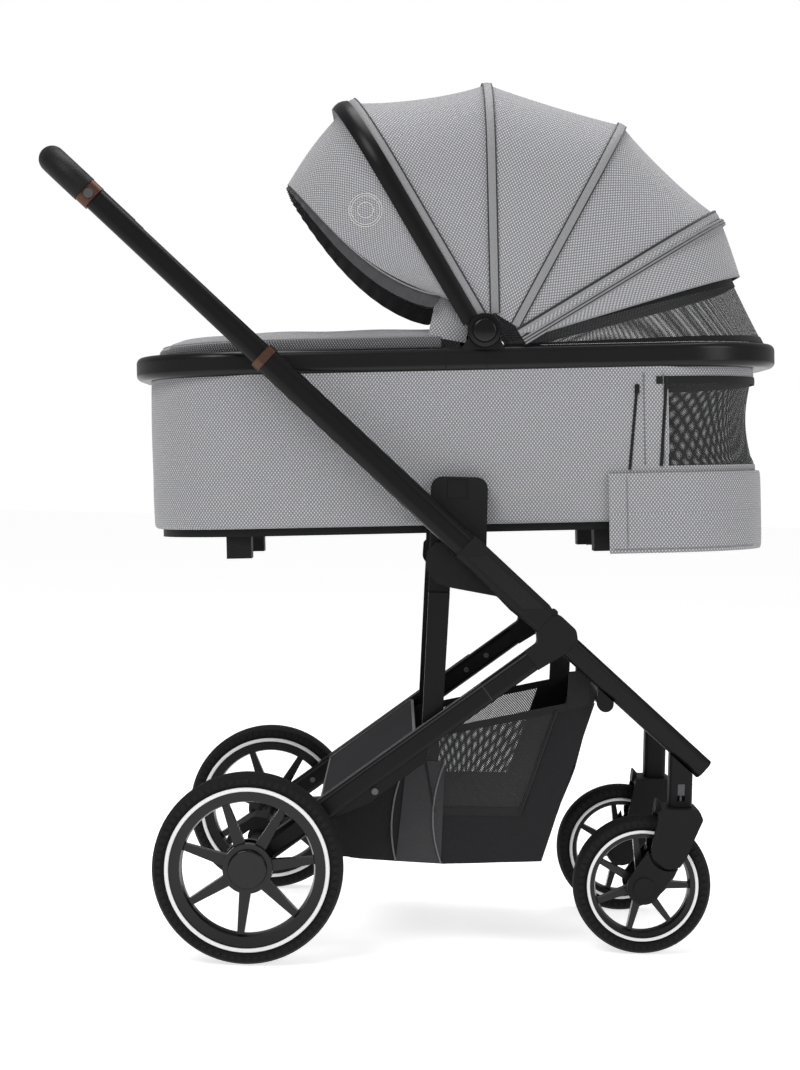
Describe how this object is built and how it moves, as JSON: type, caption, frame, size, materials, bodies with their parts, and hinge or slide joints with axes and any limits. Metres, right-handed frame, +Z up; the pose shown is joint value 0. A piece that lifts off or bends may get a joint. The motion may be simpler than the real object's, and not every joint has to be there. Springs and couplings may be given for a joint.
{
  "type": "baby stroller with carrycot",
  "caption": "Folding pram chassis with swivelling front wheels, telescoping push bar, under-basket and a lift-off carrycot with a folding hood.",
  "frame": {"origin": "on the floor, midway between the wheels' outer sides and midway along the whole length", "axes": "+X forward, from the push handle towards the swivelling front wheels; +Y to the stroller's left; +Z up"},
  "size_m": [1.026, 0.6, 1.2024],
  "materials": {
    "frame_black": "satin black",
    "tube_black": "satin black",
    "casting_black": "fine matt black",
    "gloss_black": "gloss black",
    "bronze_ring": "satin bronze",
    "grip_leather": "stitched black",
    "rivet_grey": "satin grey",
    "tyre_black": "matt black",
    "wheel_black": "satin black with a white line",
    "fabric_grey": "light grey melange weave",
    "fabric_black": "black twill",
    "mesh_grey": "open mesh",
    "rim_black": "satin black",
    "screw_steel": "blackened",
    "mattress_white": "soft white"
  },
  "bodies": {
    "rear_frame": {"rear_legs": "frame_black", "elbows": "casting_black", "posts": "frame_black", "seat_brackets": "casting_black", "adapters": "casting_black", "rear_axle": "frame_black", "rear_panel": "fabric_black", "basket": "fabric_black", "frame_screws": "screw_steel"},
    "push_bar": {"fold_housings": "casting_black", "inlays": "gloss_black", "outer_tubes": "tube_black", "tube_rings": "bronze_ring"},
    "handle": {"inner_tubes": "tube_black", "grip": "grip_leather", "collars": "bronze_ring", "rivets": "rivet_grey"},
    "height_button": {"height_button": "gloss_black"},
    "adapter_button_L": {"adapter_button_L": "gloss_black"},
    "adapter_button_R": {"adapter_button_R": "gloss_black"},
    "front_frame": {"front_legs": "frame_black", "front_cross": "frame_black", "swivel_housings": "casting_black"},
    "swivel_lock_L": {"swivel_lock_L": "rivet_grey"},
    "swivel_lock_R": {"swivel_lock_R": "rivet_grey"},
    "caster_L": {"caster_L": "casting_black"},
    "caster_R": {"caster_R": "casting_black"},
    "arm_L": {"fork_arm_L": "casting_black"},
    "arm_R": {"fork_arm_R": "casting_black"},
    "front_wheel_L": {"front_tyre_L": "tyre_black", "front_rim_L": "wheel_black"},
    "front_wheel_R": {"front_tyre_R": "tyre_black", "front_rim_R": "wheel_black"},
    "rear_wheel_L": {"rear_tyre_L": "tyre_black", "rear_rim_L": "wheel_black", "rear_cap_L": "gloss_black"},
    "rear_wheel_R": {"rear_tyre_R": "tyre_black", "rear_rim_R": "wheel_black", "rear_cap_R": "gloss_black"},
    "brake_pedal": {"brake_pedal": "casting_black"},
    "brake_pin_L": {"brake_pin_L": "screw_steel"},
    "brake_pin_R": {"brake_pin_R": "screw_steel"},
    "carrycot": {"tub": "fabric_grey", "window_mesh": "mesh_grey", "cot_base": "casting_black", "cot_lugs": "casting_black", "cot_rim": "rim_black", "mattress": "mattress_white", "apron": "fabric_grey", "window_flap": "fabric_grey", "hood_hubs": "rim_black", "bow_rear": "fabric_grey", "hood_rear": "fabric_grey"},
    "hood_3": {"bow_3": "fabric_grey", "panel_3": "fabric_grey"},
    "hood_2": {"bow_2": "fabric_grey", "panel_2": "fabric_grey"},
    "hood_1": {"bow_1": "rim_black", "panel_1": "fabric_grey", "visor": "fabric_grey"}
  },
  "joints": [
    {"name": "push_bar_fold", "type": "hinge", "parent": "rear_frame", "child": "push_bar", "pos_m": [0.1963, 0, 0.4723], "axis": [0, 1, 0], "range_deg": [0, 150]},
    {"name": "handle_telescope", "type": "slide", "parent": "push_bar", "child": "handle", "axis": [-0.7455, 0, 0.6665], "range_m": [-0.1, 0]},
    {"name": "height_button", "type": "slide", "parent": "handle", "child": "height_button", "axis": [-0.7455, 0, 0.6665], "range_m": [0, 0.003], "stiffness_N_per_m": 800, "springref_m": -0.002},
    {"name": "adapter_button_L", "type": "slide", "parent": "rear_frame", "child": "adapter_button_L", "axis": [0, -1, 0], "range_m": [0, 0.0035], "stiffness_N_per_m": 800, "springref_m": -0.002},
    {"name": "adapter_button_R", "type": "slide", "parent": "rear_frame", "child": "adapter_button_R", "axis": [0, 1, 0], "range_m": [0, 0.0035], "stiffness_N_per_m": 800, "springref_m": -0.002},
    {"name": "carrycot_lift", "type": "slide", "parent": "rear_frame", "child": "carrycot", "axis": [0, 0, 1], "range_m": [0, 0.3]},
    {"name": "hood_bow_3", "type": "hinge", "parent": "carrycot", "child": "hood_3", "pos_m": [0.0953, 0, 0.85], "axis": [0, 1, 0], "range_deg": [0, 24]},
    {"name": "hood_bow_2", "type": "hinge", "parent": "hood_3", "child": "hood_2", "pos_m": [0.0953, 0, 0.85], "axis": [0, 1, 0], "range_deg": [0, 24]},
    {"name": "hood_bow_1", "type": "hinge", "parent": "hood_2", "child": "hood_1", "pos_m": [0.0953, 0, 0.85], "axis": [0, 1, 0], "range_deg": [0, 24]},
    {"name": "front_leg_fold", "type": "hinge", "parent": "rear_frame", "child": "front_frame", "pos_m": [0.2113, 0, 0.432], "axis": [0, 1, 0], "range_deg": [0, 50], "deforming": ["basket"]},
    {"name": "swivel_L", "type": "hinge", "parent": "front_frame", "child": "caster_L", "pos_m": [0.3813, 0.155, 0.2034], "axis": [0, 0, 1], "continuous": true},
    {"name": "suspension_L", "type": "hinge", "parent": "caster_L", "child": "arm_L", "pos_m": [0.3653, 0.155, 0.1476], "axis": [0, 1, 0], "range_deg": [0, 6], "stiffness_Nm_per_rad": 60, "springref_deg": -2.86},
    {"name": "front_spin_L", "type": "hinge", "parent": "arm_L", "child": "front_wheel_L", "pos_m": [0.3313, 0.155, 0.095], "axis": [0, 1, 0], "continuous": true},
    {"name": "swivel_lock_L", "type": "slide", "parent": "front_frame", "child": "swivel_lock_L", "axis": [0, 0, -1], "range_m": [0, 0.008]},
    {"name": "rear_spin_L", "type": "hinge", "parent": "rear_frame", "child": "rear_wheel_L", "pos_m": [-0.2047, 0.2775, 0.127], "axis": [0, 1, 0], "continuous": true},
    {"name": "swivel_R", "type": "hinge", "parent": "front_frame", "child": "caster_R", "pos_m": [0.3813, -0.155, 0.2034], "axis": [0, 0, 1], "continuous": true},
    {"name": "suspension_R", "type": "hinge", "parent": "caster_R", "child": "arm_R", "pos_m": [0.3653, -0.155, 0.1476], "axis": [0, 1, 0], "range_deg": [0, 6], "stiffness_Nm_per_rad": 60, "springref_deg": -2.86},
    {"name": "front_spin_R", "type": "hinge", "parent": "arm_R", "child": "front_wheel_R", "pos_m": [0.3313, -0.155, 0.095], "axis": [0, 1, 0], "continuous": true},
    {"name": "swivel_lock_R", "type": "slide", "parent": "front_frame", "child": "swivel_lock_R", "axis": [0, 0, -1], "range_m": [0, 0.008]},
    {"name": "rear_spin_R", "type": "hinge", "parent": "rear_frame", "child": "rear_wheel_R", "pos_m": [-0.2047, -0.2775, 0.127], "axis": [0, 1, 0], "continuous": true},
    {"name": "brake_pedal", "type": "hinge", "parent": "rear_frame", "child": "brake_pedal", "pos_m": [-0.2047, 0, 0.127], "axis": [0, -1, 0], "range_deg": [0, 22]},
    {"name": "brake_pin_L", "type": "slide", "parent": "rear_frame", "child": "brake_pin_L", "axis": [0, 1, 0], "range_m": [0, 0.006]},
    {"name": "brake_pin_R", "type": "slide", "parent": "rear_frame", "child": "brake_pin_R", "axis": [0, -1, 0], "range_m": [0, 0.006]}
  ],
  "couplings": [
    {"joint": "hood_bow_2", "follows": "hood_bow_3", "ratio": 1},
    {"joint": "hood_bow_1", "follows": "hood_bow_3", "ratio": 1},
    {"joint": "front_leg_fold", "follows": "push_bar_fold", "ratio": 0.33333},
    {"joint": "brake_pin_L", "follows": "brake_pedal", "m_per_rad": 0.015625},
    {"joint": "brake_pin_R", "follows": "brake_pedal", "m_per_rad": 0.015625}
  ]
}
